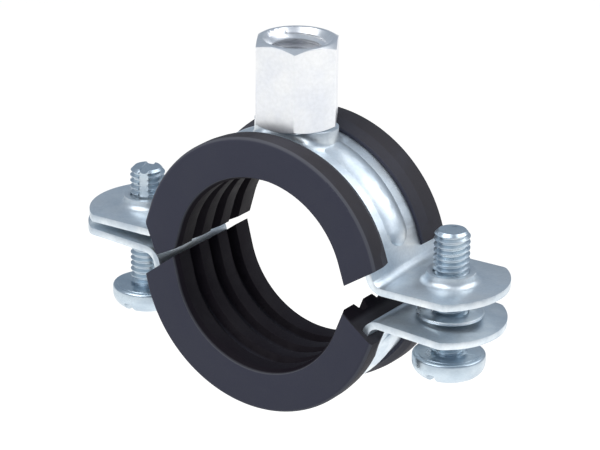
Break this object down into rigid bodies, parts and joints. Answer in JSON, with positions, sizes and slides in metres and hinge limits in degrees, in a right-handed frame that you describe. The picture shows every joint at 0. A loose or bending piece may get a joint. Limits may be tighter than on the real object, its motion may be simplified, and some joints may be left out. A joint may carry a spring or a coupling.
{
  "type": "rubber lined pipe clamp",
  "caption": "Two-screw steel pipe clamp with ribbed rubber linings and a welded hexagonal connecting nut, hanging partly open.",
  "frame": {"origin": "centre of the upper half's bore", "axes": "+Y along the pipe, +X along the lugs, +Z towards the connecting nut"},
  "size_m": [0.0787, 0.0218, 0.0615],
  "materials": {
    "zinc_steel": "bright zinc plate",
    "rubber": "matt moulded rubber"
  },
  "bodies": {
    "upper_half": {"upper_strap": "zinc_steel", "combination_nut": "zinc_steel", "upper_lining": "rubber"},
    "lower_half": {"lower_strap": "zinc_steel", "lower_lining": "rubber"},
    "right_washer": {"right_washer": "zinc_steel"},
    "right_screw": {"right_screw": "zinc_steel"},
    "left_washer": {"left_washer": "zinc_steel"},
    "left_screw": {"left_screw": "zinc_steel"}
  },
  "joints": [
    {"name": "right_screw_travel", "type": "slide", "parent": "upper_half", "child": "right_washer", "axis": [0, 0, 1], "range_m": [-0.0008, 0.0037]},
    {"name": "right_screw_turn", "type": "hinge", "parent": "right_washer", "child": "right_screw", "pos_m": [0.03, 0, 0], "axis": [0, 0, 1], "range_deg": [-289, 1333]},
    {"name": "lower_half_swing", "type": "hinge", "parent": "upper_half", "child": "lower_half", "pos_m": [-0.0215, 0, -0.0012], "axis": [0, -1, 0], "range_deg": [-0.9, 4.12]},
    {"name": "left_screw_turn", "type": "hinge", "parent": "upper_half", "child": "left_washer", "pos_m": [-0.03, 0, 0], "axis": [0, 0, 1], "range_deg": [-1801, 3061]},
    {"name": "left_screw_travel", "type": "slide", "parent": "left_washer", "child": "left_screw", "axis": [0, 0, 1], "range_m": [-0.005, 0.0085]}
  ],
  "couplings": [
    {"joint": "right_screw_turn", "follows": "right_screw_travel", "rad_per_m": 6283.2},
    {"joint": "lower_half_swing", "follows": "right_screw_travel", "rad_per_m": 19.417},
    {"joint": "left_screw_turn", "follows": "left_screw_travel", "rad_per_m": 6283.2}
  ]
}
